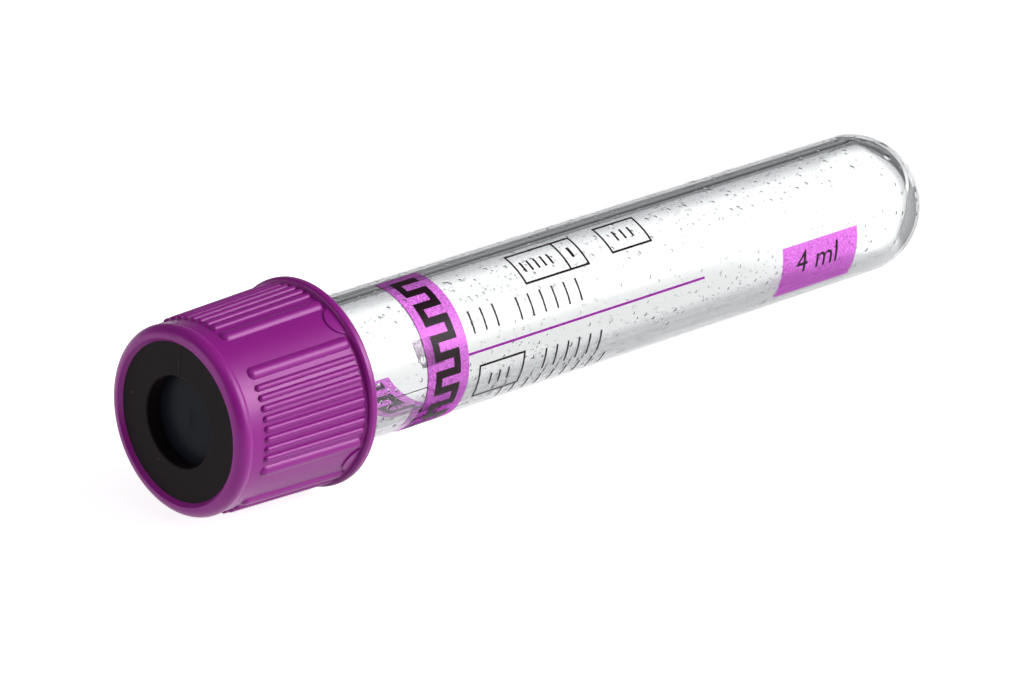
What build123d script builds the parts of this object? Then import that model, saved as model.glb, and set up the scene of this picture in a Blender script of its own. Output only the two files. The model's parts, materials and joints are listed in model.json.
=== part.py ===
from build123d import *
import math
import os

# Evacuated blood collection tube of the 13 x 75 mm class, lying on its side.
#
# Every piece is drawn along the tube's own axis: +Z runs from the closure's open face
# (z = 0) to the round end, and +X is the side that faces up once the tube lies down.
# A radius and a distance along the axis are written (r, z). All sizes are millimetres.

# ---- Barrel: injection moulded, clear, round bottomed ------------------------------
BARREL_LENGTH = 75.5
BARREL_MOUTH_RADIUS = 6.25
BARREL_END_RADIUS = 6.03
BARREL_WALL = 1.0
MOUTH_ROUNDING = 0.25
GATE_RADIUS = 0.6
GATE_HEIGHT = 0.1

# ---- Label: clear printed film, wrapped once round the barrel ----------------------
LABEL_START = 15.0           # from the barrel's mouth
LABEL_LENGTH = 49.4
LABEL_THICKNESS = 0.06
LABEL_CLEARANCE = 0.01
LABEL_SEAM_WIDTH = 0.4       # bare strip between the film's two ends
LABEL_SEAM_TURN = 250.0      # degrees round the axis from the upper side

# ---- Stopper: soft rubber, a flange on the mouth and a hollow plug in the bore ------
STOPPER_FLANGE_THICKNESS = 5.3
STOPPER_OVERHANG = 0.8       # flange beyond the barrel's mouth
STOPPER_DOME_HEIGHT = 0.12   # rubber bulged into the port, within the ring's rounding
STOPPER_DOME_MARGIN = 0.05   # between the dome's edge and the port
PLUG_LENGTH = 5.6
PLUG_RELIEF = 0.22           # plug below the bore, between its sealing beads
PLUG_CHAMFER = 0.5
SEAL_COUNT = 2
SEAL_PITCH = 2.2
SEAL_HALF_WIDTH = 0.55
SEAL_CLEARANCE = 0.02
WELL_RADIUS = 2.4
MEMBRANE_THICKNESS = 4.6

# ---- Retaining ring: black disc with the needle port -------------------------------
RING_THICKNESS = 1.35
RING_RECESS = 0.35           # ring's face below the cap's lip
PORT_ROUNDING = 0.15
PORT_RADIUS = 3.88

# ---- Cap: moulded shell with grip ribs and a rear flange ----------------------------
CAP_LENGTH = 14.3
CAP_WALL = 0.9               # over the ring and the stopper's flange
CAP_DRAFT = 0.024            # growth in radius per millimetre of length
SEAT_CLEARANCE = 0.05        # round the ring and the stopper's flange
LIP_OVERLAP = 0.25           # of the lip over the ring
LIP_BEVEL = 0.3
LIP_CREST_SETBACK = 0.8      # crest of the lip inside the cap's outer radius
LIP_LENGTH = 1.35
SNAP_BEAD_HEIGHT = 0.6
SNAP_BEAD_LENGTH = 0.55
SNAP_BEAD_RAMP = 0.2
SKIRT_CLEARANCE = 0.3        # skirt round the barrel, just behind the snap bead
SKIRT_FLARE = 0.45           # further growth of the skirt's bore to its rear edge
SKIRT_CHAMFER = 0.2
FLANGE_THICKNESS = 0.85
FLANGE_HEIGHT = 0.55
FLANGE_ROUNDING = 0.3
FLANGE_ROOT_ROUNDING = 0.22

# ---- Grip ribs ----------------------------------------------------------------------
RIB_GROUPS = 4
RIB_GROUP_TURN = 77.4        # degrees round the axis from the upper side
THIN_RIBS = 8
RIB_PITCH = 6.14             # degrees
RIB_HEIGHT = 0.28
THIN_RIB_WIDTH = 0.6
THIN_RIB_START = 2.6
THIN_RIB_FLANGE_GAP = 0.22
WIDE_RIB_WIDTH = 1.1
WIDE_RIB_START = 2.5
WIDE_RIB_FLANGE_GAP = 0.1
WIDE_RIB_OFFSET = 1.5        # pitches beyond the last thin rib

# ---- Half-round pads on the bare panels between the rib groups -----------------------
PAD_RADIUS = 1.4
PAD_HEIGHT = 0.14
PAD_ROUNDING = 0.08
PAD_FLANGE_OFFSET = 0.2      # pad's centre behind the flange's front face

# ---- Places along the axis, from the closure's face ----------------------------------
RING_FACE = RING_RECESS
RING_BACK = RING_FACE + RING_THICKNESS
BARREL_MOUTH = RING_BACK + STOPPER_FLANGE_THICKNESS
BARREL_END = BARREL_MOUTH + BARREL_LENGTH
END_CENTRE = BARREL_END - BARREL_END_RADIUS
PLUG_END = BARREL_MOUTH + PLUG_LENGTH
FLANGE_FRONT = CAP_LENGTH - FLANGE_THICKNESS

# ---- Radii that follow from what fits round what --------------------------------------
BARREL_TAPER = (BARREL_MOUTH_RADIUS - BARREL_END_RADIUS) / (END_CENTRE - BARREL_MOUTH)
STOPPER_RADIUS = BARREL_MOUTH_RADIUS + STOPPER_OVERHANG
SEAT_RADIUS = STOPPER_RADIUS + SEAT_CLEARANCE
CAP_RADIUS = SEAT_RADIUS + CAP_WALL
LIP_RADIUS = STOPPER_RADIUS - LIP_OVERLAP


def barrel_radius(z):
    """Outer radius of the barrel at z, between its mouth and its round end."""
    return BARREL_MOUTH_RADIUS - BARREL_TAPER * (z - BARREL_MOUTH)


def bore_radius(z):
    """Inner radius of the barrel at z."""
    return barrel_radius(z) - BARREL_WALL


def cap_radius(z):
    """Outer radius of the cap's shell at z, between the lip and the flange."""
    return CAP_RADIUS + CAP_DRAFT * (z - LIP_LENGTH)


FLANGE_RADIUS = cap_radius(FLANGE_FRONT) + FLANGE_HEIGHT


def section(*edges):
    """Closed half section through the axis, from edges drawn in (r, z)."""
    return Plane.XZ * make_face(Curve() + list(edges))


def turned(half_section, degrees=360.0):
    """Body of revolution about the axis."""
    return revolve(half_section, Axis.Z, degrees)


def rounded(half_section, corner, radius):
    """Half section with the corner at (r, z) rounded."""
    place = Vector(corner[0], 0, corner[1])
    vertex = min(half_section.vertices(), key=lambda v: (Vector(*v) - place).length)
    return fillet(vertex, radius)


def make_barrel():
    """Open mouthed barrel with a hemispherical bottom and the stub of its mould gate."""
    inner_end = BARREL_END_RADIUS - BARREL_WALL
    mouth_inner = (bore_radius(BARREL_MOUTH), BARREL_MOUTH)
    mouth_outer = (barrel_radius(BARREL_MOUTH), BARREL_MOUTH)
    outer_arc = CenterArc((0, END_CENTRE), BARREL_END_RADIUS, 0, 90)
    inner_arc = CenterArc((0, END_CENTRE), inner_end, 0, 90)
    walls = section(
        Line(mouth_inner, mouth_outer),
        Line(mouth_outer, outer_arc @ 0),
        outer_arc,
        Line(outer_arc @ 1, inner_arc @ 1),
        inner_arc,
        Line(inner_arc @ 0, mouth_inner),
    )
    walls = rounded(walls, mouth_outer, MOUTH_ROUNDING)
    walls = rounded(walls, mouth_inner, MOUTH_ROUNDING)
    gate_root = BARREL_END - BARREL_WALL / 2
    gate_length = BARREL_END + GATE_HEIGHT - gate_root
    gate = Pos(0, 0, gate_root + gate_length / 2) * Cylinder(GATE_RADIUS, gate_length)
    return turned(walls) + gate


def make_label():
    """Film sleeve that follows the barrel's taper, with a bare strip at its seam."""
    first = BARREL_MOUTH + LABEL_START
    last = first + LABEL_LENGTH
    inner_first = (barrel_radius(first) + LABEL_CLEARANCE, first)
    inner_last = (barrel_radius(last) + LABEL_CLEARANCE, last)
    outer_last = (inner_last[0] + LABEL_THICKNESS, last)
    outer_first = (inner_first[0] + LABEL_THICKNESS, first)
    film = section(Polyline(inner_first, inner_last, outer_last, outer_first, close=True))
    seam = math.degrees(LABEL_SEAM_WIDTH / inner_first[0])
    return Rot(0, 0, LABEL_SEAM_TURN + seam / 2) * turned(film, 360.0 - seam)


def sealing_bead(z, root_radius):
    """Rounded bead on the plug that seals against the bore at z."""
    crest = bore_radius(z + SEAL_HALF_WIDTH) - SEAL_CLEARANCE
    start = (root_radius, z - SEAL_HALF_WIDTH)
    end = (root_radius, z + SEAL_HALF_WIDTH)
    return ThreePointArc(start, (crest, z), end)


def make_stopper():
    """Stopper with a low dome in the needle port, two sealing beads and a hollow plug."""
    plug_radius = bore_radius(PLUG_END) - PLUG_RELIEF
    dome = ThreePointArc(
        (-(PORT_RADIUS - STOPPER_DOME_MARGIN), RING_BACK),
        (0, RING_BACK - STOPPER_DOME_HEIGHT),
        (PORT_RADIUS - STOPPER_DOME_MARGIN, RING_BACK),
    )
    half_dome = dome.trim(0.5, 1)
    first_seal = (BARREL_MOUTH + PLUG_END - PLUG_CHAMFER - SEAL_PITCH * (SEAL_COUNT - 1)) / 2
    outer = [half_dome]
    outer.append(Polyline(
        half_dome @ 1,
        (STOPPER_RADIUS, RING_BACK),
        (STOPPER_RADIUS, BARREL_MOUTH),
        (plug_radius, BARREL_MOUTH),
    ))
    for index in range(SEAL_COUNT):
        bead = sealing_bead(first_seal + index * SEAL_PITCH, plug_radius)
        outer.append(Line(outer[-1] @ 1, bead @ 0))
        outer.append(bead)
    well_top = RING_BACK - STOPPER_DOME_HEIGHT + MEMBRANE_THICKNESS
    well_end = CenterArc((0, well_top + WELL_RADIUS), WELL_RADIUS, 0, -90)
    outer.append(Polyline(
        outer[-1] @ 1,
        (plug_radius, PLUG_END - PLUG_CHAMFER),
        (plug_radius - PLUG_CHAMFER, PLUG_END),
        (WELL_RADIUS, PLUG_END),
        well_end @ 0,
    ))
    outer.append(well_end)
    outer.append(Line(well_end @ 1, half_dome @ 0))
    return turned(section(*outer))


def make_ring():
    """Flat disc held behind the cap's lip, with the round port for the needle."""
    disc = section(Polyline(
        (PORT_RADIUS, RING_FACE),
        (STOPPER_RADIUS, RING_FACE),
        (STOPPER_RADIUS, RING_BACK),
        (PORT_RADIUS, RING_BACK),
        close=True,
    ))
    disc = rounded(disc, (PORT_RADIUS, RING_FACE), PORT_ROUNDING)
    disc = rounded(disc, (PORT_RADIUS, RING_BACK), PORT_ROUNDING)
    return turned(disc)


def cap_shell():
    """Cap without its grip: rolled lip, drafted wall, rear flange and stepped bore."""
    lip_crest = (CAP_RADIUS - LIP_CREST_SETBACK, 0)
    lip_root = (CAP_RADIUS, LIP_LENGTH)
    flange_root = (cap_radius(FLANGE_FRONT), FLANGE_FRONT)
    flange_front = (FLANGE_RADIUS, FLANGE_FRONT)
    flange_rear = (FLANGE_RADIUS, CAP_LENGTH)
    bead_radius = SEAT_RADIUS - SNAP_BEAD_HEIGHT
    bead_front = BARREL_MOUTH + SEAT_CLEARANCE
    bead_back = bead_front + SNAP_BEAD_RAMP + SNAP_BEAD_LENGTH
    skirt_radius = barrel_radius(bead_back) + SKIRT_CLEARANCE
    skirt_rear = skirt_radius + SKIRT_FLARE
    lip = TangentArc(lip_crest, lip_root, tangent=(1, 0))
    wall = Polyline(
        lip_root,
        flange_root,
        flange_front,
        flange_rear,
        (skirt_rear + SKIRT_CHAMFER, CAP_LENGTH),
        (skirt_rear, CAP_LENGTH - SKIRT_CHAMFER),
        (skirt_radius, bead_back + SNAP_BEAD_RAMP),
        (bead_radius, bead_back),
        (bead_radius, bead_front + SNAP_BEAD_RAMP),
        (SEAT_RADIUS, bead_front),
        (SEAT_RADIUS, RING_FACE),
        (LIP_RADIUS, RING_FACE),
        (LIP_RADIUS + LIP_BEVEL, 0),
        lip_crest,
    )
    shell = section(lip, wall)
    shell = rounded(shell, flange_root, FLANGE_ROOT_ROUNDING)
    shell = rounded(shell, flange_front, FLANGE_ROUNDING)
    shell = rounded(shell, flange_rear, FLANGE_ROUNDING)
    return turned(shell)


def grip_rib(start, end, width):
    """One rib on the cap's upper side: a rod with ball ends, sunk until its width fits."""
    radius = (width**2 / 4 + RIB_HEIGHT**2) / (2 * RIB_HEIGHT)
    length = end - start - width
    middle = (start + end) / 2
    ball = Sphere(radius)
    rod = Cylinder(radius, length) + [Pos(0, 0, side * length / 2) * ball for side in (-1, 1)]
    place = Pos(cap_radius(middle) + RIB_HEIGHT - radius, 0, middle)
    core = Pos(0, 0, middle) * Cylinder(SEAT_RADIUS + CAP_WALL / 2, CAP_LENGTH * 2)
    return place * Rot(0, math.degrees(math.atan(CAP_DRAFT)), 0) * rod - core


def grip_group():
    """Thin ribs with a wide rib on each side, centred on the cap's upper side."""
    thin = grip_rib(THIN_RIB_START, FLANGE_FRONT - THIN_RIB_FLANGE_GAP, THIN_RIB_WIDTH)
    wide = grip_rib(WIDE_RIB_START, FLANGE_FRONT - WIDE_RIB_FLANGE_GAP, WIDE_RIB_WIDTH)
    half_span = (THIN_RIBS - 1) / 2
    group = [Rot(0, 0, (index - half_span) * RIB_PITCH) * thin for index in range(THIN_RIBS)]
    for side in (-1, 1):
        group.append(Rot(0, 0, side * (half_span + WIDE_RIB_OFFSET) * RIB_PITCH) * wide)
    return group


def panel_pad():
    """Low half-round pad on the cap's upper side that runs into the flange."""
    first = (cap_radius(LIP_LENGTH) + PAD_HEIGHT, LIP_LENGTH)
    last = (cap_radius(CAP_LENGTH) + PAD_HEIGHT, CAP_LENGTH)
    skin = turned(section(Polyline((0, LIP_LENGTH), first, last, (0, CAP_LENGTH), close=True)))
    side = Plane(origin=(SEAT_RADIUS + CAP_WALL / 2, 0, 0), x_dir=(0, 0, 1), z_dir=(1, 0, 0))
    outline = Pos(FLANGE_FRONT + PAD_FLANGE_OFFSET, 0) * Circle(PAD_RADIUS)
    pad = extrude(side * outline, FLANGE_RADIUS) & skin
    pad = fillet(pad.faces().sort_by(Axis.X)[-1].edges(), PAD_ROUNDING)
    return split(pad, Plane.XY.offset(FLANGE_FRONT + FLANGE_THICKNESS / 2), keep=Keep.BOTTOM)


def make_cap():
    """Cap with its rib groups and the pads on the panels between them."""
    step = 360.0 / RIB_GROUPS
    group = grip_group()
    pad = panel_pad()
    raised = []
    for index in range(RIB_GROUPS):
        turn = RIB_GROUP_TURN + index * step
        raised += [Rot(0, 0, turn) * rib for rib in group]
        raised.append(Rot(0, 0, turn + step / 2) * pad)
    return cap_shell() + raised


def rest_tilt():
    """Slope of the axis, in radians, when the flange and the round end touch the table."""
    reach = END_CENTRE - (CAP_LENGTH - FLANGE_ROUNDING)
    rise = FLANGE_RADIUS - FLANGE_ROUNDING
    drop = FLANGE_ROUNDING - BARREL_END_RADIUS
    return math.atan2(rise, reach) + math.asin(drop / math.hypot(reach, rise))


def lay_down(pieces):
    """Pieces on the table, z = 0, with the origin under the middle of the whole tube."""
    tilt = rest_tilt()
    height = BARREL_END_RADIUS + END_CENTRE * math.sin(tilt)
    lying = Plane(
        origin=(0, 0, height),
        x_dir=(math.sin(tilt), 0, math.cos(tilt)),
        z_dir=(math.cos(tilt), 0, -math.sin(tilt)),
    ).location
    pieces = {name: lying * piece for name, piece in pieces.items()}
    box = Compound(children=[Compound(piece.solids()) for piece in pieces.values()]).bounding_box()
    return {name: Pos(-box.center().X, 0, 0) * piece for name, piece in pieces.items()}


def main():
    """Builds every piece and writes one STEP file for each."""
    pieces = {
        "barrel": make_barrel(),
        "label_film": make_label(),
        "stopper": make_stopper(),
        "retaining_ring": make_ring(),
        "cap_shell": make_cap(),
    }
    os.makedirs("parts", exist_ok=True)
    for name, piece in lay_down(pieces).items():
        export_step(piece, f"parts/{name}.step")
        print(name, "volume", round(piece.volume, 2), "solids", len(piece.solids()))


main()
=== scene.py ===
import json
import logging
import math
from dataclasses import dataclass
from enum import Enum

import bmesh
import bpy
from mathutils import Matrix, Vector

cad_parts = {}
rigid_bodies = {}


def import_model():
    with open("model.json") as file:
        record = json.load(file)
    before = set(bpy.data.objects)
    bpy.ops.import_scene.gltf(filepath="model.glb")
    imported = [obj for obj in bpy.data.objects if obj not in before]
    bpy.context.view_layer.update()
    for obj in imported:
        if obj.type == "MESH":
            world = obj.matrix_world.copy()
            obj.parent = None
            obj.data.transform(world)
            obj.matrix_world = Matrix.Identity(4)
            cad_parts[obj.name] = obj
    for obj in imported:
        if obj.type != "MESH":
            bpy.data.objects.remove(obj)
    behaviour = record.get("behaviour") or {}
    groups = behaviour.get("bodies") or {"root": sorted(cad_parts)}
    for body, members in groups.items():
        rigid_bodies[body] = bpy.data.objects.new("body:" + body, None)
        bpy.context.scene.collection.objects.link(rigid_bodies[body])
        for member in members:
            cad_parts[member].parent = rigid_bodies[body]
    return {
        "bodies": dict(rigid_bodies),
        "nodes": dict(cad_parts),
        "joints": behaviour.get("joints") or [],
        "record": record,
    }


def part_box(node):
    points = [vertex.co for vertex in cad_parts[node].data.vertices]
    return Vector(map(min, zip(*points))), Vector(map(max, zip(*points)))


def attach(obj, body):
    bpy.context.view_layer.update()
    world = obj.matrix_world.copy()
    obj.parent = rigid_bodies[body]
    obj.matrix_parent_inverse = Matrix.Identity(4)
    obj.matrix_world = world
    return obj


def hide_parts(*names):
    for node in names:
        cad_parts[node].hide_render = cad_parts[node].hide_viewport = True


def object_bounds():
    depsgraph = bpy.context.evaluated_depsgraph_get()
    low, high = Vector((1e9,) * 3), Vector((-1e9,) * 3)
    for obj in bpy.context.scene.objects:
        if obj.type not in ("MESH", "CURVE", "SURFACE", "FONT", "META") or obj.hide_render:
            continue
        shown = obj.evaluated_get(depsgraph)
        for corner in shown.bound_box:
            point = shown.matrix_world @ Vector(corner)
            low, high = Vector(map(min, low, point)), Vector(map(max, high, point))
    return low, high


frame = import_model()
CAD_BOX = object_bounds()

# Looks of an evacuated blood collection tube that lies on a white table. Every size in
# a dataclass is in millimetres or degrees, apart from the studio's, which is in metres.
# A place along the tube is measured from the closure's open face, and a turn round it
# from the upper side towards the camera's side.

MM = 0.001
TUBE_BODY = "tube"
SOFT_NOISE = {"From Min": 0.3, "From Max": 0.7}  # nearly all that a noise texture gives
HARD_NOISE = {"From Min": 0.35, "From Max": 0.65}  # its middle, for more contrast

log = logging.getLogger("blood_collection_tube")


def linear(hex_colour: str) -> tuple[float, ...]:
    """Turns an sRGB colour into the linear one that shaders take.

    Args:
        hex_colour: Six hex digits, as in "8c2a80".

    Returns:
        Linear red, green and blue, and an alpha of 1.
    """
    parts = [int(hex_colour[i:i + 2], 16) / 255 for i in (0, 2, 4)]
    curve = [c / 12.92 if c <= 0.04045 else ((c + 0.055) / 1.055) ** 2.4 for c in parts]
    return (*curve, 1.0)


def direction(azimuth: float, elevation: float) -> Vector:
    """Unit vector from the tube towards an azimuth and elevation in degrees."""
    a, e = math.radians(azimuth), math.radians(elevation)
    return Vector((math.sin(a) * math.cos(e), -math.cos(a) * math.cos(e), math.sin(e)))


def add_node(tree: bpy.types.NodeTree, kind: str, settings: dict | None = None,
             inputs: dict | None = None) -> bpy.types.Node:
    """Adds a node with its settings, values and links.

    Args:
        tree: Node tree that takes the node.
        kind: Blender's name of the node's type.
        settings: Attributes of the node itself.
        inputs: What each input takes, by name or index: a value, a socket, or a node
            whose first output in use is meant.

    Returns:
        The new node.
    """
    node = tree.nodes.new(kind)
    for name, value in (settings or {}).items():
        setattr(node, name, value)
    for key, value in (inputs or {}).items():
        if isinstance(value, bpy.types.Node):
            value = next(socket for socket in value.outputs if socket.enabled)
        if isinstance(value, bpy.types.NodeSocket):
            tree.links.new(value, node.inputs[key])
        else:
            node.inputs[key].default_value = value
    return node


def new_material(name: str) -> tuple[bpy.types.Material, bpy.types.NodeTree]:
    """Makes a material with an empty node tree.

    Args:
        name: Name of the real material and process.

    Returns:
        The material and its node tree.
    """
    material = bpy.data.materials.new(name)
    material.use_nodes = True
    material.node_tree.nodes.clear()
    return material, material.node_tree


@dataclass(frozen=True)
class TubeAxis:
    """The tube's own axis in the frame, taken from the CAD nodes and joints."""

    row_from_tube: Matrix
    ring_recess: float = 0.35
    ring_thickness: float = 1.35

    @classmethod
    def from_frame(cls, packed: dict) -> "TubeAxis":
        """Reads where the axis lies.


        Returns:
            The axis.
        """
        along = -Vector(packed["joints"][0]["axis"]).normalized()
        upper = Vector((-along.z, 0.0, along.x))
        low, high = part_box("retaining_ring")
        ring_middle = (cls.ring_recess + cls.ring_thickness / 2) * MM
        origin = (low + high) / 2 - along * ring_middle
        turn = Matrix((upper, along.cross(upper), along)).transposed().to_4x4()
        return cls(Matrix.Translation(origin) @ turn @ Matrix.Scale(MM, 4))

    def coordinates(self, tree: bpy.types.NodeTree) -> bpy.types.Node:
        """Adds nodes that give a point in the tube's own axes, in millimetres.

        Args:
            tree: Node tree that takes the nodes.

        Returns:
            The node that gives the point.
        """
        place = self.row_from_tube
        return add_node(tree, "ShaderNodeMapping", {"vector_type": "TEXTURE"}, {
            "Vector": add_node(tree, "ShaderNodeTexCoord").outputs["Object"],
            "Location": place.translation, "Rotation": place.to_euler(), "Scale": (MM, MM, MM),
        })


class Lathe:
    """Profile in radius and length that is spun round the tube's axis."""

    def __init__(self, radius: float, length: float) -> None:
        """Starts the profile at one point."""
        self.mesh = bmesh.new()
        self.last = self.mesh.verts.new((radius, 0.0, length))

    def line_to(self, radius: float, length: float) -> None:
        """Draws a straight line to a point."""
        made = bmesh.ops.extrude_vert_indiv(self.mesh, verts=[self.last])
        self.last = made["verts"][0]
        self.last.co = (radius, 0.0, length)

    def straight_to(self, radius: float, length: float, held: float = 0.04) -> None:
        """Draws a long straight line whose ends keep their own smooth normals.

        Args:
            radius: Radius of the line's end.
            length: Length of the line's end.
            held: Distance of the holding points from both ends.
        """
        first = Vector((self.last.co.x, self.last.co.z))
        last = Vector((radius, length))
        share = held / (last - first).length
        for step in (share, 1 - share, 1):
            self.line_to(*first.lerp(last, step))

    def arc(self, centre: tuple[float, float], degrees: float, steps: int) -> None:
        """Draws an arc from the last point.

        Args:
            centre: The arc's centre, as radius and length.
            degrees: Turn of the arc, positive from the length's axis to the radius's.
            steps: Number of chords.
        """
        made = bmesh.ops.spin(
            self.mesh, geom=[self.last], cent=(centre[0], 0.0, centre[1]), axis=(0, 1, 0),
            angle=math.radians(degrees), steps=steps, use_merge=False,
        )
        self.last = next(item for item in made["geom_last"] if isinstance(item, bmesh.types.BMVert))

    def spin(self, steps: int, degrees: float = 360.0) -> bmesh.types.BMesh:
        """Spins the profile round the axis.

        Args:
            steps: Number of steps.
            degrees: Turn of the spin.

        Returns:
            The spun mesh, with its seam and poles closed.
        """
        bmesh.ops.spin(
            self.mesh, geom=self.mesh.verts[:] + self.mesh.edges[:], cent=(0, 0, 0),
            axis=(0, 0, 1), angle=math.radians(degrees), steps=steps,
            use_merge=degrees == 360.0,
        )
        close_up(self.mesh)
        return self.mesh


def close_up(mesh: bmesh.types.BMesh, distance: float = 1e-4) -> None:
    """Merges doubles and turns the faces outwards.

    Args:
        mesh: Mesh in millimetres.
        distance: Vertices nearer than this become one.
    """
    bmesh.ops.remove_doubles(mesh, verts=mesh.verts, dist=distance)
    bmesh.ops.recalc_face_normals(mesh, faces=mesh.faces)


def raise_sheet(sheet: bmesh.types.BMesh, thickness: float) -> None:
    """Gives an open sheet on the tube a thickness, away from the axis.

    Args:
        sheet: Open mesh in the tube's own axes.
        thickness: Its new thickness.
    """
    top = bmesh.ops.extrude_face_region(sheet, geom=sheet.faces[:], use_keep_orig=True)
    for vertex in (item for item in top["geom"] if isinstance(item, bmesh.types.BMVert)):
        away = Vector((vertex.co.x, vertex.co.y, 0)).normalized()
        vertex.co += away * thickness
    bmesh.ops.recalc_face_normals(sheet, faces=sheet.faces)


def finished_piece(name: str, mesh: bmesh.types.BMesh, axis: TubeAxis,
                   finishes: "list[Finish]", body: str, sharp_degrees: float = 35.0
                   ) -> bpy.types.Object:
    """Turns a mesh in the tube's own axes into a piece that rides on a body.

    Args:
        name: The piece's name.
        mesh: Mesh in millimetres, in the tube's own axes; it is freed.
        axis: The tube's axis.
        finishes: A finish for each material index of the mesh's faces.
        body: CAD body that the piece moves with.
        sharp_degrees: Edges that bend more than this stay sharp.

    Returns:
        The piece.
    """
    bmesh.ops.transform(mesh, matrix=axis.row_from_tube, verts=mesh.verts)
    for face in mesh.faces:
        face.smooth = True
    for edge in mesh.edges:
        edge.smooth = edge.is_manifold and edge.calc_face_angle() < math.radians(sharp_degrees)
    data = bpy.data.meshes.new(name)
    mesh.to_mesh(data)
    mesh.free()
    piece = bpy.data.objects.new(name, data)
    bpy.context.scene.collection.objects.link(piece)
    for finish in finishes:
        data.materials.append(finish.material(axis))
    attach(piece, body)
    log.info("%s: %d faces, rides on %s", name, len(data.polygons), body)
    return piece


@dataclass(frozen=True)
class DropletSet:
    """Droplets of one size class: how far apart they stand, how large they are, and the painted
    shade near their edges.
    """

    pitch: float
    least: float
    most: float
    steepness: float
    softness: float = 1.0
    rim_shade_share: float = 1.0
    rim_shade_middle: float = 0.78
    rim_shade_reach: float = 0.3

    def relief(self, tree: bpy.types.NodeTree, place: bpy.types.Node
               ) -> tuple[bpy.types.Node, bpy.types.Node]:
        """Adds the droplets' relief, round caps of random size.

        Args:
            tree: Node tree that takes the nodes.
            place: Point in the tube's own axes.

        Returns:
            The nodes of the height in millimetres and of the share of painted shade near each
            droplet's edge.
        """
        cells = add_node(tree, "ShaderNodeTexVoronoi", {}, {
            "Vector": place, "Scale": 1.0 / self.pitch,
        })
        chance = add_node(tree, "ShaderNodeSeparateColor", {}, {0: cells.outputs["Color"]})
        radius = add_node(tree, "ShaderNodeMapRange", {}, {
            "Value": chance, "To Min": self.least, "To Max": self.most,
        })
        distance = add_node(tree, "ShaderNodeMath", {"operation": "MULTIPLY"}, {
            0: cells, 1: self.pitch,
        })
        away = add_node(tree, "ShaderNodeMath", {"operation": "DIVIDE"}, {
            0: distance, 1: radius,
        })
        square = add_node(tree, "ShaderNodeMath", {"operation": "MULTIPLY"}, {0: away, 1: away})
        cap = add_node(tree, "ShaderNodeMath", {"operation": "SUBTRACT", "use_clamp": True}, {
            0: 1.0, 1: square,
        })
        rounded = add_node(tree, "ShaderNodeMath", {"operation": "POWER"}, {
            0: cap, 1: self.softness,
        })
        tallest = add_node(tree, "ShaderNodeMath", {"operation": "MULTIPLY"}, {
            0: radius, 1: self.steepness / 2,
        })
        height = add_node(tree, "ShaderNodeMath", {"operation": "MULTIPLY"}, {
            0: rounded, 1: tallest,
        })
        # painted shade: a darker ring near each droplet's edge, for the dark outline that its
        # refraction gives
        past_rim = add_node(tree, "ShaderNodeMath", {"operation": "SUBTRACT"}, {
            0: away, 1: self.rim_shade_middle,
        })
        beside = add_node(tree, "ShaderNodeMath", {"operation": "ABSOLUTE"}, {0: past_rim})
        rim_shade = add_node(tree, "ShaderNodeMapRange", {"interpolation_type": "SMOOTHSTEP"}, {
            "Value": beside, "From Max": self.rim_shade_reach, "To Min": self.rim_shade_share, "To Max": 0.0,
        })
        return height, rim_shade


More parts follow.
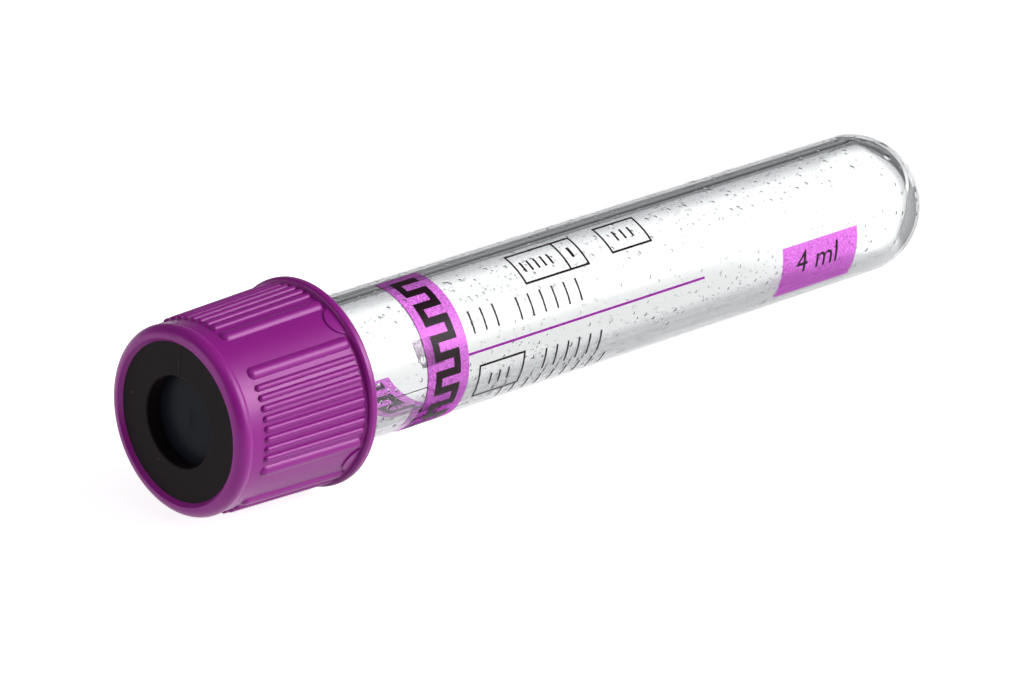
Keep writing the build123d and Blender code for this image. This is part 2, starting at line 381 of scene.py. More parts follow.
@dataclass(frozen=True)
class ClearMoulding:
    """Clear moulded wall that lets lamps through, with dried droplets on its inside."""

    name: str
    tint: str
    slant_shade_tint: str
    rim_shade_tint: str
    depth_tint: str
    absorbed: float
    ior: float
    gloss_tint: str
    wave_height: float
    wave_length: float
    sets: tuple[DropletSet, ...]
    wave_stretch: float = 4.0
    slant_first: float = 0.4
    slant_full: float = 0.65
    bare_to: float = 14.0
    end_centre: float = 76.47
    inner_within: float = 5.6
    mouth_to: float = 7.2
    mouth_haze: float = 0.55

    def clear_share(self, tree: bpy.types.NodeTree, place: bpy.types.Node) -> bpy.types.Node:
        """Adds a factor that is 1 on clear plastic, and less on the mouth's hazy end face.

        Args:
            tree: Node tree that takes the nodes.
            place: Point in the tube's own axes.

        Returns:
            The factor's node.
        """
        parts = add_node(tree, "ShaderNodeSeparateXYZ", {}, {0: place})
        at_mouth = add_node(tree, "ShaderNodeMath", {"operation": "LESS_THAN"}, {
            0: parts.outputs["Z"], 1: self.mouth_to,
        })
        return add_node(tree, "ShaderNodeMapRange", {}, {
            "Value": at_mouth, "To Min": 1.0, "To Max": 1.0 - self.mouth_haze,
        })

    def coated(self, tree: bpy.types.NodeTree, place: bpy.types.Node) -> bpy.types.Node:
        """Adds a factor that is 1 on the inner wall past the stopper, and 0 elsewhere.

        Args:
            tree: Node tree that takes the nodes.
            place: Point in the tube's own axes.

        Returns:
            The factor's node.
        """
        parts = add_node(tree, "ShaderNodeSeparateXYZ", {}, {0: place}).outputs
        past = add_node(tree, "ShaderNodeMath", {"operation": "SUBTRACT"}, {
            0: parts["Z"], 1: self.end_centre,
        })
        in_end = add_node(tree, "ShaderNodeMath", {"operation": "MAXIMUM"}, {0: past, 1: 0.0})
        from_axis = add_node(tree, "ShaderNodeCombineXYZ", {}, {
            0: parts["X"], 1: parts["Y"], 2: in_end,
        })
        away = add_node(tree, "ShaderNodeVectorMath", {"operation": "LENGTH"}, {0: from_axis})
        inside = add_node(tree, "ShaderNodeMath", {"operation": "LESS_THAN"}, {
            0: away, 1: self.inner_within,
        })
        past_stopper = add_node(tree, "ShaderNodeMath", {"operation": "GREATER_THAN"}, {
            0: parts["Z"], 1: self.bare_to,
        })
        return add_node(tree, "ShaderNodeMath", {"operation": "MULTIPLY"}, {
            0: inside, 1: past_stopper,
        })

    def relief(self, tree: bpy.types.NodeTree, place: bpy.types.Node
               ) -> tuple[bpy.types.Node, bpy.types.Node]:
        """Adds the relief: long shallow waves along the flow, and the droplets.

        Args:
            tree: Node tree that takes the nodes.
            place: Point in the tube's own axes.

        Returns:
            The nodes of the height in millimetres and of the share of painted shade near each
            droplet's edge.
        """
        stretched = add_node(tree, "ShaderNodeMapping", {"vector_type": "POINT"}, {
            "Vector": place, "Scale": (1.0, 1.0, 1.0 / self.wave_stretch),
        })
        waves = add_node(tree, "ShaderNodeTexNoise", {}, {
            "Vector": stretched, "Scale": 1.0 / self.wave_length, "Detail": 2.0,
        })
        total = add_node(tree, "ShaderNodeMath", {"operation": "MULTIPLY"}, {
            0: waves, 1: self.wave_height,
        })
        rim_shades = 0.0
        coated = self.coated(tree, place)
        for droplets in self.sets:
            height, rim_shade = droplets.relief(tree, place)
            total = add_node(tree, "ShaderNodeMath", {"operation": "MULTIPLY_ADD"}, {
                0: height, 1: coated, 2: total,
            })
            rim_shades = add_node(tree, "ShaderNodeMath", {"operation": "MAXIMUM"}, {0: rim_shades, 1: rim_shade})
        rim_shades = add_node(tree, "ShaderNodeMath", {"operation": "MULTIPLY"}, {0: rim_shades, 1: coated})
        return total, rim_shades

    def make(self, axis: TubeAxis) -> bpy.types.Material:
        """Makes the material.

        Args:
            axis: The tube's axis, for the relief.

        Returns:
            The material.
        """
        material, tree = new_material(self.name)
        place = axis.coordinates(tree)
        height, rim_shades = self.relief(tree, place)
        normal = add_node(tree, "ShaderNodeBump", {}, {"Height": height, "Distance": MM})
        # painted shade: the wall's colour greys where it is seen at a slant, for the dark edges
        # that a clear wall shows; the real absorption through the plastic is the volume further
        # down
        facing = add_node(tree, "ShaderNodeLayerWeight", {}, {"Blend": 0.5})
        slant_shade = add_node(tree, "ShaderNodeMapRange", {"interpolation_type": "SMOOTHSTEP"}, {
            "Value": facing.outputs["Facing"],
            "From Min": self.slant_first, "From Max": self.slant_full,
        })
        wall = add_node(tree, "ShaderNodeMix", {"data_type": "RGBA"}, {
            "Factor": slant_shade, "A": linear(self.tint), "B": linear(self.slant_shade_tint),
        })
        # painted shade: the droplets' darker edges are mixed into the colour
        colour = add_node(tree, "ShaderNodeMix", {"data_type": "RGBA"}, {
            "Factor": rim_shades, "A": wall, "B": linear(self.rim_shade_tint),
        })
        body = add_node(tree, "ShaderNodeBsdfPrincipled", {}, {
            "Base Color": colour,
            "Roughness": 0.0,
            "IOR": self.ior,
            "Specular Tint": linear(self.gloss_tint),
            "Transmission Weight": self.clear_share(tree, place),
            "Normal": normal,
        })
        passing = add_node(tree, "ShaderNodeBsdfTransparent", {}, {"Color": linear(self.tint)})
        path = add_node(tree, "ShaderNodeLightPath")
        mix = add_node(tree, "ShaderNodeMixShader", {}, {
            0: path.outputs["Is Shadow Ray"], 1: body, 2: passing,
        })
        depth = add_node(tree, "ShaderNodeVolumeAbsorption", {}, {
            "Color": linear(self.depth_tint), "Density": self.absorbed,
        })
        add_node(tree, "ShaderNodeOutputMaterial", {}, {"Surface": mix, "Volume": depth})
        return material


@dataclass(frozen=True)
class ClearFilm:
    """Clear polypropylene film: nearly unseen from the front, with a slight milky sheen."""

    name: str
    sheen: str
    share: float
    share_spread: float = 0.4
    haze_length: float = 6.0
    roughness: float = 0.2
    ior: float = 1.49

    def make(self, axis: TubeAxis) -> bpy.types.Material:
        """Makes the material.

        Args:
            axis: The tube's axis, for the haze.

        Returns:
            The material.
        """
        material, tree = new_material(self.name)
        haze = add_node(tree, "ShaderNodeTexNoise", {}, {
            "Vector": axis.coordinates(tree), "Scale": 1.0 / self.haze_length, "Detail": 4.0,
        })
        cover = add_node(tree, "ShaderNodeMapRange", {}, SOFT_NOISE | {
            "Value": haze, "To Min": (1.0 - self.share_spread) * self.share,
            "To Max": (1.0 + self.share_spread) * self.share,
        })
        passing = add_node(tree, "ShaderNodeBsdfTransparent")
        body = add_node(tree, "ShaderNodeBsdfPrincipled", {}, {
            "Base Color": linear(self.sheen), "Roughness": self.roughness, "IOR": self.ior,
        })
        mix = add_node(tree, "ShaderNodeMixShader", {}, {0: cover, 1: passing, 2: body})
        add_node(tree, "ShaderNodeOutputMaterial", {}, {"Surface": mix})
        return material


@dataclass(frozen=True)
class PrintInk:
    """Flexographic ink on film: evenly tinted, with the fine mottle of its dots.

    The colour that it lets through acts on both faces of a shell of ink, so it is the
    root of what the eye sees.
    """

    name: str
    colour: str
    passes: str
    dots: str
    cover: float
    mottle: float
    sheen: float = 0.0
    gloss: float = 0.12
    roughness: float = 0.35
    ior: float = 1.5
    dot_pitch: float = 0.14

    def make(self, axis: TubeAxis) -> bpy.types.Material:
        """Makes the material.

        Args:
            axis: The tube's axis, for the dots.

        Returns:
            The material.
        """
        material, tree = new_material(self.name)
        dots = add_node(tree, "ShaderNodeTexNoise", {}, {
            "Vector": axis.coordinates(tree), "Scale": 1.0 / self.dot_pitch, "Detail": 1.0,
        })
        cover = add_node(tree, "ShaderNodeMapRange", {}, HARD_NOISE | {
            "Value": dots, "To Min": max(self.cover - self.mottle, 0.0),
            "To Max": min(self.cover + self.mottle, 1.0),
        })
        dense = add_node(tree, "ShaderNodeMapRange", {}, HARD_NOISE | {"Value": dots})
        let_through = add_node(tree, "ShaderNodeMix", {"data_type": "RGBA"}, {
            "Factor": dense, "A": linear(self.passes), "B": linear(self.dots),
        })
        passing = add_node(tree, "ShaderNodeBsdfTransparent", {}, {"Color": let_through})
        body = add_node(tree, "ShaderNodeBsdfPrincipled", {}, {
            "Base Color": linear(self.colour), "Metallic": self.sheen,
            "Roughness": self.roughness, "IOR": self.ior, "Specular IOR Level": self.gloss,
        })
        mix = add_node(tree, "ShaderNodeMixShader", {}, {0: cover, 1: passing, 2: body})
        add_node(tree, "ShaderNodeOutputMaterial", {}, {"Surface": mix})
        return material


@dataclass(frozen=True)
class MouldedSatin:
    """Opaque moulded part with a fine satin skin, faint flow marks and specks of dust.

    Its weld line, where there is one, is a low ridge on the upper side.
    """

    name: str
    colour: str
    shade: str
    roughness: float
    ior: float
    gloss: float
    speck_pitch: float
    speck_colour: str
    speck_radius: float = 0.06
    gloss_tint: str = "ffffff"
    roughness_spread: float = 0.03
    grain: float = 0.12  # coarser than the real skin, so that it shows
    grain_height: float = 0.0015
    flow_length: float = 4.0
    weld_height: float = 0.0
    weld_reach: float = 0.12
    weld_first: float = 1.0
    weld_full: float = 2.0

    def height(self, tree: bpy.types.NodeTree, place: bpy.types.Node, skin: bpy.types.Node
               ) -> bpy.types.Node:
        """Adds the skin's height in millimetres.

        Args:
            tree: Node tree that takes the nodes.
            place: Point in the tube's own axes.
            skin: The grain's noise.

        Returns:
            The height's node.
        """
        grain = add_node(tree, "ShaderNodeMath", {"operation": "MULTIPLY"}, {
            0: skin, 1: self.grain_height,
        })
        if not self.weld_height:
            return grain
        parts = add_node(tree, "ShaderNodeSeparateXYZ", {}, {0: place}).outputs
        beside = add_node(tree, "ShaderNodeMath", {"operation": "ABSOLUTE"}, {0: parts["Y"]})
        ridge = add_node(tree, "ShaderNodeMapRange", {"interpolation_type": "SMOOTHSTEP"}, {
            "Value": beside, "From Max": self.weld_reach,
            "To Min": self.weld_height, "To Max": 0.0,
        })
        upper = add_node(tree, "ShaderNodeMapRange", {}, {
            "Value": parts["X"], "From Min": self.weld_first, "From Max": self.weld_full,
        })
        return add_node(tree, "ShaderNodeMath", {"operation": "MULTIPLY_ADD"}, {
            0: ridge, 1: upper, 2: grain,
        })

    def make(self, axis: TubeAxis) -> bpy.types.Material:
        """Makes the material.

        Args:
            axis: The tube's axis, for the grain and flow marks.

        Returns:
            The material.
        """
        material, tree = new_material(self.name)
        place = axis.coordinates(tree)
        flow = add_node(tree, "ShaderNodeTexNoise", {}, {
            "Vector": place, "Scale": 1.0 / self.flow_length, "Detail": 3.0,
        })
        skin = add_node(tree, "ShaderNodeTexNoise", {}, {
            "Vector": place, "Scale": 1.0 / self.grain, "Detail": 2.0,
        })
        plain = add_node(tree, "ShaderNodeMix", {"data_type": "RGBA"}, {
            "Factor": flow, "A": linear(self.colour), "B": linear(self.shade),
        })
        dust = add_node(tree, "ShaderNodeTexVoronoi", {}, {
            "Vector": place, "Scale": 1.0 / self.speck_pitch,
        })
        speck_edge = self.speck_radius / self.speck_pitch
        speck = add_node(tree, "ShaderNodeMapRange", {}, {
            "Value": dust, "From Min": speck_edge, "From Max": speck_edge / 2,
        })
        colour = add_node(tree, "ShaderNodeMix", {"data_type": "RGBA"}, {
            "Factor": speck, "A": plain, "B": linear(self.speck_colour),
        })
        rough = add_node(tree, "ShaderNodeMapRange", {}, SOFT_NOISE | {
            "Value": skin, "To Min": self.roughness - self.roughness_spread,
            "To Max": self.roughness + self.roughness_spread,
        })
        normal = add_node(tree, "ShaderNodeBump", {}, {
            "Height": self.height(tree, place, skin), "Distance": MM,
        })
        body = add_node(tree, "ShaderNodeBsdfPrincipled", {}, {
            "Base Color": colour, "Roughness": rough, "IOR": self.ior, "Normal": normal,
            "Specular IOR Level": self.gloss, "Specular Tint": linear(self.gloss_tint),
        })
        add_node(tree, "ShaderNodeOutputMaterial", {}, {"Surface": body})
        return material


class Finish(Enum):
    """Every finish on the tube, with its real material and process."""

    # PET: clear and glossy, bends what is behind it strongly, faint waves along its flow, greyed at
    # a slant by painted shade;
    # the sprayed additive dried on its inner wall as droplets, with painted shade for their dark
    # edges
    BARREL = ClearMoulding(
        "PET, clear, injection moulded", tint="fafbfb", slant_shade_tint="b4b6ba", rim_shade_tint="96989e",
        depth_tint="6c7074", absorbed=50.0, ior=1.55, gloss_tint="7c7c7c",
        wave_height=0.006, wave_length=3.5,
        sets=(
            DropletSet(pitch=0.72, least=0.07, most=0.19, steepness=0.36, rim_shade_share=0.75),
            DropletSet(pitch=1.15, least=0.09, most=0.2, steepness=0.45, rim_shade_share=0.9),
            DropletSet(2.3, 0.18, 0.38, steepness=0.25, softness=1.5, rim_shade_share=0.5),
        ),
    )
    # film: bonded on, so only its sheen shows
    FILM = ClearFilm("Polypropylene film, clear, cast", "f2f2f2", 0.01)
    # cut edge of the film: milky where the knife went
    FILM_EDGE = ClearFilm("Polypropylene film, clear, knife cut", "b9b9bd", 0.12)
    # magenta ink: a translucent tint, with the droplets behind it showing through
    MAGENTA = PrintInk(
        "Magenta ink, flexographic", "f0b8f2", "f9c2fa", "f0a0f1", cover=0.08, mottle=0.06,
        sheen=0.35,
    )
    # the same ink laid twice: darker, for the thin line
    DEEP_MAGENTA = PrintInk(
        "Magenta ink, flexographic, laid twice", "b03cb8", "dc88df", "d478d7", cover=0.15,
        mottle=0.05,
    )
    # dark brown-black ink: nearly opaque
    DARK = PrintInk(
        "Black ink, flexographic", "23131c", "4a3442", "4a3442", cover=0.94, mottle=0.05
    )
    # pale grey ink: a frosted patch
    GREY = PrintInk(
        "Pale grey ink, flexographic", "b9b1b8", "dcd6dc", "d2ccd2", cover=0.3, mottle=0.2
    )
    # polyethylene: satin skin, saturated purple with broad soft highlights
    CAP = MouldedSatin(
        "Polyethylene, purple, injection moulded", "93188b", "891582", 0.33, 1.5, gloss=0.5,
        speck_pitch=4.5, speck_colour="b265ab", speck_radius=0.05, gloss_tint="ffcdf5",
        grain_height=0.0004,
    )
    # glass-filled polypropylene: matt, nearly black, dust and a weld line show on it
    RING = MouldedSatin(
        "Polypropylene, black, injection moulded", "20191d", "1c161a", 0.5, 1.49, gloss=0.06,
        speck_pitch=1.9, speck_colour="77706c", weld_height=0.03,
    )
    # bromobutyl rubber: dark blue-grey with a soft sheen
    STOPPER = MouldedSatin(
        "Bromobutyl rubber, dark grey, compression moulded", "1a1c25", "161820", 0.34, 1.52,
        gloss=0.06, speck_pitch=2.3, speck_colour="8a8f96",
    )

    def material(self, axis: TubeAxis) -> bpy.types.Material:
        """Gives the finish's material, made when it is first asked for."""
        return bpy.data.materials.get(self.value.name) or self.value.make(axis)


@dataclass
class Barrel:
    """Clear barrel with a round bottom and the stub of its gate."""

    axis: TubeAxis
    mouth: float = 7.0
    end: float = 82.5
    mouth_radius: float = 6.25
    end_radius: float = 6.03
    wall: float = 1.0
    mouth_rounding: float = 0.25
    mouth_steps: int = 5
    gate_radius: float = 0.6
    gate_height: float = 0.1
    turns: int = 160
    bottom_steps: int = 28

    def radius(self, place: float) -> float:
        """Outer radius at a place along the tube."""
        run = self.end - self.end_radius - self.mouth
        taper = self.mouth_radius - self.end_radius
        return self.mouth_radius - taper * (place - self.mouth) / run

    def build(self) -> None:
        """Spins the wall, inside and outside, as one closed shell that stands for its node."""
        rounding = self.mouth_rounding
        centre = self.end - self.end_radius
        gate_face = self.end + self.gate_height
        gate_foot = centre + math.sqrt(self.end_radius**2 - self.gate_radius**2)
        gate_turn = math.degrees(math.asin(self.gate_radius / self.end_radius))
        inner_rim = self.mouth_radius - self.wall + rounding
        rim_centre = self.mouth + rounding
        profile = Lathe(0.0, gate_face)
        profile.line_to(self.gate_radius, gate_face)
        profile.line_to(self.gate_radius, gate_foot)
        profile.arc((0.0, centre), 90.0 - gate_turn, self.bottom_steps)
        profile.straight_to(self.mouth_radius, rim_centre)
        profile.arc((self.mouth_radius - rounding, rim_centre), 90.0, self.mouth_steps)
        profile.line_to(inner_rim, self.mouth)
        profile.arc((inner_rim, rim_centre), 90.0, self.mouth_steps)
        profile.straight_to(self.end_radius - self.wall, centre)
        profile.arc((0.0, centre), -90.0, self.bottom_steps)
        piece = finished_piece(
            "clear_barrel", profile.spin(self.turns), self.axis, [Finish.BARREL], TUBE_BODY
        )
        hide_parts("barrel")


@dataclass(frozen=True)
class Mark:
    """Printed rectangle: places along the tube, turns round it, and a stroke if hollow."""

    start: float
    end: float
    first_turn: float
    last_turn: float
    stroke: float = 0.0


@dataclass(frozen=True)
class Bars:
    """Row of plain bars along the tube, where words would stand."""

    start: float
    pitch: float
    count: int
    first_turn: float
    last_turn: float
    width: float = 0.2

    def marks(self) -> list[Mark]:
        """The row's bars, one by one."""
        starts = [self.start + i * self.pitch for i in range(self.count)]
        return [
            Mark(start, start + self.width, self.first_turn, self.last_turn) for start in starts
        ]


@dataclass(frozen=True)
class Meander:
    """Square wave round the band, where a word would stand."""

    rise: float = 0.95  # from the film's edge
    height: float = 2.75
    stroke: float = 0.72
    waves: int = 8
    first_margin: float = 7.0  # from the band's ends
    last_margin: float = 3.0
    apart: float = 0.005


@dataclass
class Label:
    """Clear film round the barrel with its print as thin shapes of ink."""

    axis: TubeAxis
    barrel: Barrel
    start: float = 22.0
    end: float = 71.4
    clearance: float = 0.01
    thickness: float = 0.06
    seam_turn: float = 250.0
    seam_width: float = 0.4
    turns: int = 240
    tint_lift: float = 0.004
    dark_lift: float = 0.014
    ink_thickness: float = 0.006
    band_width: float = 4.65
    band_turns: tuple[float, float] = (-5.0, 220.0)
    edge_width: float = 0.08
    meander: Meander = Meander()
    cut_degrees: float = 2.0
    merged_within: float = 1e-5
    line_end: float = 53.5
    line_turns: tuple[float, float] = (79.0, 81.0)
    capacity_field: Mark = Mark(62.6, 71.35, 78.0, 124.0)
    frosted_patch: Mark = Mark(30.4, 32.8, 217.0, 244.0)
    outlines: tuple[Mark, ...] = (
        Mark(34.7, 42.0, 12.4, 42.5, 0.2),  # long field of the upper row
        Mark(39.8, 40.0, 14.2, 40.7),  # its divider
        Mark(44.7, 49.3, 12.0, 40.0, 0.2),  # short field of the upper row
        Mark(27.8, 33.0, 91.0, 121.5, 0.2),  # field under the line
        Mark(24.9, 29.2, 163.0, 196.0, 0.15),  # small outline on the far side
    )
    bars: tuple[Bars, ...] = (
        Bars(35.45, 0.75, 5, 22.5, 32.5, 0.22),  # in the long field
        Bars(40.75, 0.6, 1, 22.5, 32.5, 0.3),  # past its divider
        Bars(46.05, 0.85, 3, 21.0, 31.0, 0.22),  # in the short field
        Bars(29.2, 1.0, 3, 101.0, 111.5),  # in the field under the line
        Bars(27.6, 1.35, 3, 48.0, 66.0),  # short word over the line
        Bars(32.9, 1.35, 6, 49.0, 67.0),  # long word over the line
        Bars(35.3, 1.25, 6, 95.0, 114.0),  # number under the line
        Bars(31.2, 1.45, 9, 120.0, 134.0),  # lowest row
    )

    def surface(self, place: float) -> float:
        """Outer radius of the film at a place along the tube."""
        return self.barrel.radius(place) + self.clearance + self.thickness

    def degrees(self, width: float) -> float:
        """Turn that a width round the film takes."""
        return math.degrees(width / self.surface(self.start))

    def build_film(self) -> None:
        """Spins the film, with a bare strip at its seam, as a thin wall for its CAD node."""
        inner = [self.barrel.radius(place) + self.clearance for place in (self.start, self.end)]
        gap = self.degrees(self.seam_width)
        profile = Lathe(inner[0], self.start)
        profile.straight_to(inner[1], self.end)
        sheet = profile.spin(self.turns, 360.0 - gap)
        first = math.radians(self.seam_turn + gap / 2)
        bmesh.ops.rotate(sheet, verts=sheet.verts, matrix=Matrix.Rotation(first, 3, "Z"))
        raise_sheet(sheet, self.thickness)
        for face in sheet.faces:
            middle = face.calc_center_median()
            middle.z = 0.0
            across = abs(face.normal.dot(middle.normalized()))
            face.material_index = int(across < 0.5)  # 1 on the cut edges
        film = finished_piece(
            "clear_label_film", sheet, self.axis, [Finish.FILM, Finish.FILM_EDGE], TUBE_BODY
        )
        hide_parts("label_film")

    def wrap(self, flat: bmesh.types.BMesh, lift: float) -> bmesh.types.BMesh:
        """Cuts a flat shape into narrow strips and rolls it onto the film.

        Args:
            flat: Shape with the turn, in degrees, on x and the place along the tube on y.
            lift: Height of the ink's underside over the film.

        Returns:
            The same mesh as a closed thin shell on the film.
        """
        turns = [vertex.co.x for vertex in flat.verts]
        cut = math.ceil(min(turns) / self.cut_degrees) * self.cut_degrees
        while cut < max(turns):
            bmesh.ops.bisect_plane(
                flat, geom=flat.verts[:] + flat.edges[:] + flat.faces[:],
                dist=self.merged_within,
                plane_co=(cut, 0, 0), plane_no=(1, 0, 0),
            )
            cut += self.cut_degrees
        for vertex in flat.verts:
            turn, place = math.radians(vertex.co.x), vertex.co.y
            radius = self.surface(place) + lift
            vertex.co = (radius * math.cos(turn), radius * math.sin(turn), place)
        close_up(flat, self.merged_within)
        raise_sheet(flat, self.ink_thickness)
        return flat

    def lay_mark(self, flat: bmesh.types.BMesh, mark: Mark) -> None:
        """Lays a field of colour, or its outline where the mark has a stroke.

        Args:
            flat: Flat mesh, with the turn on x and the place on y.
            mark: The printed rectangle.
        """
        made = bmesh.ops.create_grid(flat, x_segments=1, y_segments=1, size=0.5)["verts"]
        width, height = mark.last_turn - mark.first_turn, mark.end - mark.start
        middle = Vector(((mark.first_turn + mark.last_turn) / 2, (mark.start + mark.end) / 2, 0))
        bmesh.ops.scale(flat, verts=made, vec=(width, height, 1))
        bmesh.ops.translate(flat, verts=made, vec=middle)
        if not mark.stroke:
            return
        hole = made[0].link_faces[0]
        bmesh.ops.inset_individual(flat, faces=[hole], thickness=mark.stroke / 2)
        across = self.degrees(mark.stroke)
        for vertex in hole.verts:
            side = vertex.co - middle
            vertex.co.x = middle.x + math.copysign(width / 2 - across, side.x)
            vertex.co.y = middle.y + math.copysign(height / 2 - mark.stroke, side.y)
        bmesh.ops.delete(flat, geom=[hole], context="FACES")

    def print_marks(self, name: str, marks: list[Mark], finish: Finish, lift: float) -> None:
        """Prints some marks as one piece.

        Args:
            name: The piece's name.
            marks: Printed rectangles.
            finish: Their ink.
            lift: Height of the ink's underside over the film.
        """
        flat = bmesh.new()
        for mark in marks:
            self.lay_mark(flat, mark)
        finished_piece(name, self.wrap(flat, lift), self.axis, [finish], TUBE_BODY)

    def print_text(self, name: str, text: str, size: float, place: float, turn: float,
                   narrow: float) -> None:
        """Prints plain characters that read along the tube.

        Args:
            name: The piece's name.
            text: What it reads.
            size: Size of the characters in millimetres.
            place: Where the first character starts along the tube.
            turn: Where its base line lies round the tube.
            narrow: Width of the characters against the font's own.
        """
        curve = bpy.data.curves.new(name, "FONT")
        curve.body = text
        curve.size = size
        curve.resolution_u = 3
        letters = bpy.data.objects.new(name + "_curve", curve)
        flat = bmesh.new()
        flat.from_mesh(bpy.data.meshes.new_from_object(letters))
        bpy.data.objects.remove(letters)
        lay = Matrix((
            (0, -self.degrees(1.0), 0, turn), (narrow, 0, 0, place), (0, 0, 1, 0), (0, 0, 0, 1),
        ))
        bmesh.ops.transform(flat, matrix=lay, verts=flat.verts)
        finished_piece(name, self.wrap(flat, self.dark_lift), self.axis, [Finish.DARK], TUBE_BODY)

    def meander_marks(self) -> list[Mark]:
        """Works out the square wave's straight pieces, which stop just short of each other.

        Returns:
            Its uprights and, between them, its sides.
        """
        wave = self.meander
        start, stroke = self.start + wave.rise, wave.stroke
        across, apart = self.degrees(stroke), self.degrees(wave.apart)
        first = self.band_turns[0] + wave.first_margin
        last = self.band_turns[1] - wave.last_margin
        length = (last - first - across) / (wave.waves - 0.5)
        sides = (start, start + wave.height - stroke)
        marks = []
        for i in range(2 * wave.waves):
            turn = first + i * length / 2
            marks.append(Mark(start, start + wave.height, turn, turn + across))
            if i < 2 * wave.waves - 1:
                side = sides[i % 2]
                reach = (turn + across + apart, turn + length / 2 - apart)
                marks.append(Mark(side, side + stroke, *reach))
        return marks

    def build_print(self) -> None:
        """Prints the band, the line, the capacity field, the outlines and the plain bars."""
        low, high = self.tint_lift, self.dark_lift
        edge, band_end = self.start + self.edge_width, self.start + self.band_width
        band = Mark(edge, band_end, *self.band_turns)
        edge_line = Mark(self.start, edge, *self.band_turns)
        line = Mark(band_end, self.line_end, *self.line_turns)
        bars = [mark for row in self.bars for mark in row.marks()]
        self.print_marks("magenta_band", [band], Finish.MAGENTA, low)
        self.print_marks("band_edge_line", [edge_line], Finish.DARK, low)
        self.print_marks("band_meander", self.meander_marks(), Finish.DARK, high)
        self.print_marks("magenta_line", [line], Finish.DEEP_MAGENTA, low)
        self.print_marks("capacity_field", [self.capacity_field], Finish.MAGENTA, low)
        self.print_text("capacity_mark", "4 ml", size=3.0, place=64.2, turn=103.0, narrow=0.95)
        self.print_marks("field_outlines", list(self.outlines), Finish.DARK, high)
        self.print_marks("plain_bars", bars, Finish.DARK, high)
        self.print_marks("frosted_patch", [self.frosted_patch], Finish.GREY, low)


@dataclass
class Closure:
    """Cap, ring and stopper, whose CAD meshes are right as they are."""

    axis: TubeAxis

    def dress(self) -> None:
        """Gives each CAD node its finish."""
        finishes = {
            "cap_shell": Finish.CAP, "retaining_ring": Finish.RING, "stopper": Finish.STOPPER,
        }
        for node, finish in finishes.items():
            frame["nodes"][node].data.materials[0] = finish.material(self.axis)
            log.info("%s: CAD node, dressed", node)


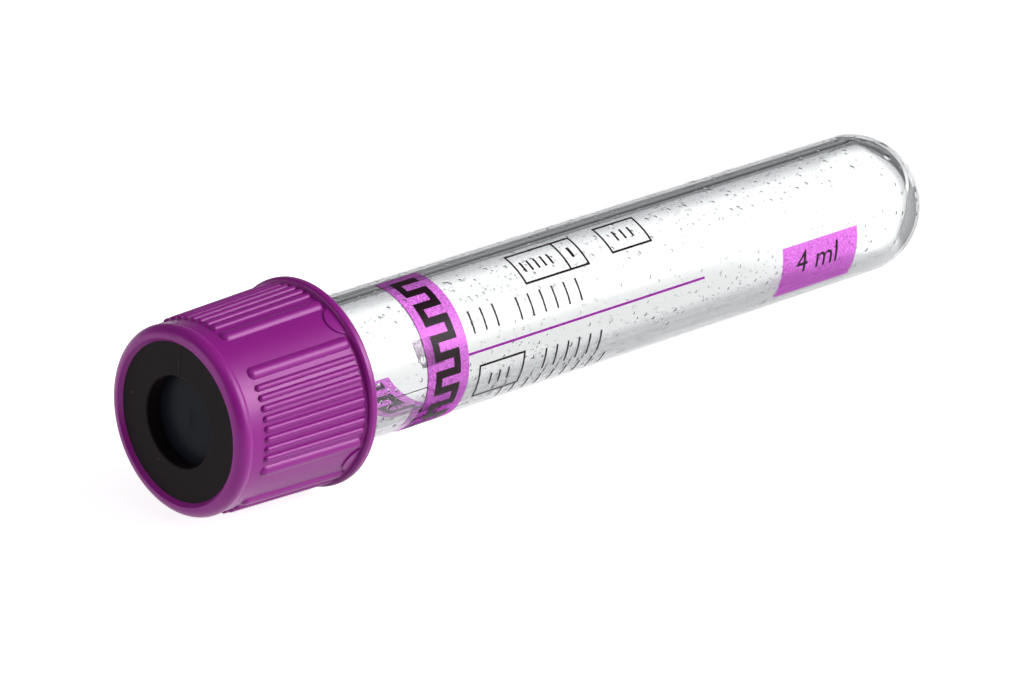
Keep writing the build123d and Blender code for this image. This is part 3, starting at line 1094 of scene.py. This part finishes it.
@dataclass
class Studio:
    """White table, soft lights, dark cards for the clear edges, and the camera.

    The camera's distance and aim are in millimetres, and the other sizes in metres.
    """

    azimuth: float = -42.81
    elevation: float = 24.39
    lens: float = 407.67
    distance: float = 964.4
    aim_right: float = -2.87
    aim_up: float = -4.36
    table: float = 4.0
    table_colour: str = "e8e8e8"
    table_lift: float = 0.8
    room_level: float = 0.2
    edge_level: float = 1.0
    streaks: tuple[float, float, float] = (6.0, 14.0, 60.0)
    back_facing: float = -10.0
    side_turn: float = 15.0

    def seen(self, tree: bpy.types.NodeTree) -> bpy.types.Node:
        """Adds nodes that are 1 for camera, glossy and transmission rays.

        Args:
            tree: Node tree that takes the nodes.

        Returns:
            The factor's node.
        """
        path = add_node(tree, "ShaderNodeLightPath").outputs
        through = add_node(tree, "ShaderNodeMath", {"operation": "MAXIMUM"}, {
            0: path["Is Camera Ray"], 1: path["Is Transmission Ray"],
        })
        return add_node(tree, "ShaderNodeMath", {"operation": "MAXIMUM"}, {
            0: through, 1: path["Is Glossy Ray"],
        })

    def stage_sheet(self, name: str, size: tuple[float, float], place: Matrix
                    ) -> tuple[bpy.types.Object, bpy.types.NodeTree]:
        """Puts up a flat sheet that isn't part of the object.

        Args:
            name: The sheet's name.
            size: Width and height in metres.
            place: Where its middle is and how it faces.

        Returns:
            The sheet and its material's empty node tree.
        """
        mesh = bmesh.new()
        mesh.loops.layers.uv.new("UVMap")
        bmesh.ops.create_grid(mesh, x_segments=1, y_segments=1, size=0.5, calc_uvs=True)
        scale = Matrix.Diagonal((size[0], size[1], 1, 1))
        bmesh.ops.transform(mesh, verts=mesh.verts, matrix=place @ scale)
        data = bpy.data.meshes.new(name)
        mesh.to_mesh(data)
        mesh.free()
        sheet = bpy.data.objects.new(name, data)
        bpy.context.scene.collection.objects.link(sheet)
        material, tree = new_material(name.replace("_", " "))
        data.materials.append(material)
        return sheet, tree

    def build_table(self) -> None:
        """Lays the white table under the tube, with its glow where it is seen."""
        _, tree = self.stage_sheet("white_table", (self.table, self.table), Matrix())
        lift = add_node(tree, "ShaderNodeMath", {"operation": "MULTIPLY"}, {
            0: self.seen(tree), 1: self.table_lift,
        })
        body = add_node(tree, "ShaderNodeBsdfDiffuse", {}, {"Color": linear(self.table_colour)})
        glow = add_node(tree, "ShaderNodeEmission", {}, {"Strength": lift})
        both = add_node(tree, "ShaderNodeAddShader", {}, {0: body, 1: glow})
        add_node(tree, "ShaderNodeOutputMaterial", {}, {"Surface": both})

    def build_room(self) -> None:
        """Sets the world to an even dim grey."""
        world = bpy.data.worlds.new("studio")
        bpy.context.scene.world = world
        world.use_nodes = True
        tree = world.node_tree
        tree.nodes.clear()
        sky = add_node(tree, "ShaderNodeBackground", {}, {"Strength": self.room_level})
        add_node(tree, "ShaderNodeOutputWorld", {}, {"Surface": sky})

    def softbox(self, name: str, azimuth: float, elevation: float, distance: float,
                size: tuple[float, float], brightness: float, spread: float = 60.0) -> None:
        """Hangs a soft light with a grid, so that it fades towards its edges.

        Args:
            name: The light's name.
            azimuth: Where it hangs, as for the camera.
            elevation: Its height above the horizon.
            distance: Metres from the tube.
            size: Width and height in metres.
            brightness: Brightness of its face straight on, where 1 is white.
            spread: Half the angle that its grid lets through, in degrees.
        """
        data = bpy.data.lights.new(name, "AREA")
        data.shape = "RECTANGLE"
        data.size, data.size_y = size
        half = math.radians(spread)
        data.spread = 2 * half
        data.energy = brightness * math.pi * size[0] * size[1] * (1 - half / math.tan(half))
        light = bpy.data.objects.new(name, data)
        back = direction(azimuth, elevation)
        light.location = back * distance
        light.rotation_euler = back.to_track_quat("Z", "Y").to_euler()
        bpy.context.scene.collection.objects.link(light)

    def dark_card(self, name: str, size: tuple[float, float], middle: tuple[float, float, float],
                  levels: tuple[float, float], facing: Matrix, fade: float) -> None:
        """Puts up a dark card that only gloss and clear plastic show, to draw their edges.

        Args:
            name: The card's name.
            size: Width and height in metres.
            middle: Where its middle is, in metres.
            levels: Its darkest and lightest brightness, where 1 is white.
            facing: How it is turned.
            fade: Share of its width over which its ends turn as bright as the table.
        """
        card, tree = self.stage_sheet(name, size, Matrix.Translation(middle) @ facing)
        coordinates = add_node(tree, "ShaderNodeTexCoord").outputs
        streaked = add_node(tree, "ShaderNodeMapping", {"vector_type": "POINT"}, {
            "Vector": coordinates["Object"], "Scale": self.streaks,
        })
        streaks = add_node(tree, "ShaderNodeTexNoise", {}, {
            "Vector": streaked, "Scale": 1.0, "Detail": 2.0,
        })
        level = add_node(tree, "ShaderNodeMapRange", {}, HARD_NOISE | {
            "Value": streaks, "To Min": levels[0], "To Max": levels[1],
        })
        across = add_node(tree, "ShaderNodeSeparateXYZ", {}, {0: coordinates["UV"]})
        past_middle = add_node(tree, "ShaderNodeMath", {"operation": "SUBTRACT"}, {
            0: across, 1: 0.5,
        })
        from_middle = add_node(tree, "ShaderNodeMath", {"operation": "ABSOLUTE"}, {
            0: past_middle,
        })
        dark = add_node(tree, "ShaderNodeMapRange", {"interpolation_type": "SMOOTHSTEP"}, {
            "Value": from_middle, "From Min": 0.5 - fade, "From Max": 0.5,
            "To Min": 1.0, "To Max": 0.0,
        })
        faded = add_node(tree, "ShaderNodeMix", {"data_type": "FLOAT"}, {
            "Factor": dark, "A": self.edge_level, "B": level,
        })
        glow = add_node(tree, "ShaderNodeEmission", {}, {"Strength": faded})
        add_node(tree, "ShaderNodeOutputMaterial", {}, {"Surface": glow})
        card.visible_camera = False
        card.visible_shadow = False
        card.visible_diffuse = False

    def build_lights(self) -> None:
        """Hangs the soft lights: a weak one overhead, and one on each side of the camera."""
        self.softbox(
            "top_softbox", azimuth=-30, elevation=75, distance=0.8, size=(0.7, 0.5),
            brightness=0.4,
        )
        self.softbox(
            "left_softbox", azimuth=-112, elevation=12, distance=0.8, size=(0.6, 0.5),
            brightness=2.4,
        )
        # the core adds to the box round it, which gives one hump of light with soft edges
        self.softbox(
            "right_softbox", azimuth=42, elevation=24, distance=0.8, size=(1.2, 1.2),
            brightness=4.6, spread=37.0,
        )
        self.softbox(
            "right_softbox_core", azimuth=42, elevation=24, distance=0.78, size=(0.6, 0.6),
            brightness=8.5, spread=21.0,
        )

    def build_cards(self) -> None:
        """Puts up the cards that draw the tube's upper side, round end and lower side; the one
        under the tube is painted shadow.
        """
        upright = direction(self.back_facing, 0).to_track_quat("Z", "Y").to_matrix().to_4x4()
        self.dark_card(
            "back_card", size=(0.42, 0.11), middle=(0.30, 0.16, 0.055), levels=(0.0, 0.55),
            facing=upright, fade=0.05,
        )
        self.dark_card(
            "side_card", size=(0.07, 0.03), middle=(0.0765, -0.0084, 0.0004), levels=(0.3, 0.75),
            facing=Matrix.Rotation(math.radians(self.side_turn), 4, "Z"), fade=0.02,
        )
        # painted shadow: a dim strip along the tube's foot, seen only through the plastic, for the
        # contact shadow that the table's glow washes out
        self.dark_card(
            "contact_shadow_card", size=(0.075, 0.0045), middle=(0.002, -0.005, 0.0003),
            levels=(0.7, 0.95), facing=Matrix(), fade=0.12,
        )

    def build_camera(self) -> None:
        """Places the camera at the viewing angle."""
        back = direction(self.azimuth, self.elevation)
        right = direction(self.azimuth + 90.0, 0.0)
        upward = back.cross(right)
        low, high = CAD_BOX
        aim = (low + high) / 2 + (right * self.aim_right + upward * self.aim_up) * MM
        data = bpy.data.cameras.new("camera")
        data.lens = self.lens
        data.clip_start, data.clip_end = 0.01, 20.0
        camera = bpy.data.objects.new("camera", data)
        camera.location = aim + back * self.distance * MM
        camera.rotation_euler = back.to_track_quat("Z", "Y").to_euler()
        bpy.context.scene.collection.objects.link(camera)
        bpy.context.scene.camera = camera

    def build(self) -> None:
        """Builds the table, the room, the lights, the cards and the camera."""
        self.build_table()
        self.build_room()
        self.build_lights()
        self.build_cards()
        self.build_camera()


def main() -> None:
    """Builds every piece in order."""
    logging.basicConfig(level=logging.INFO, format="%(name)s: %(message)s")
    axis = TubeAxis.from_frame(frame)
    barrel = Barrel(axis)
    barrel.build()
    label = Label(axis, barrel)
    label.build_film()
    label.build_print()
    Closure(axis).dress()
    Studio().build()
    bpy.context.scene.view_settings.view_transform = "Standard"


if __name__ == "__main__":
    main()
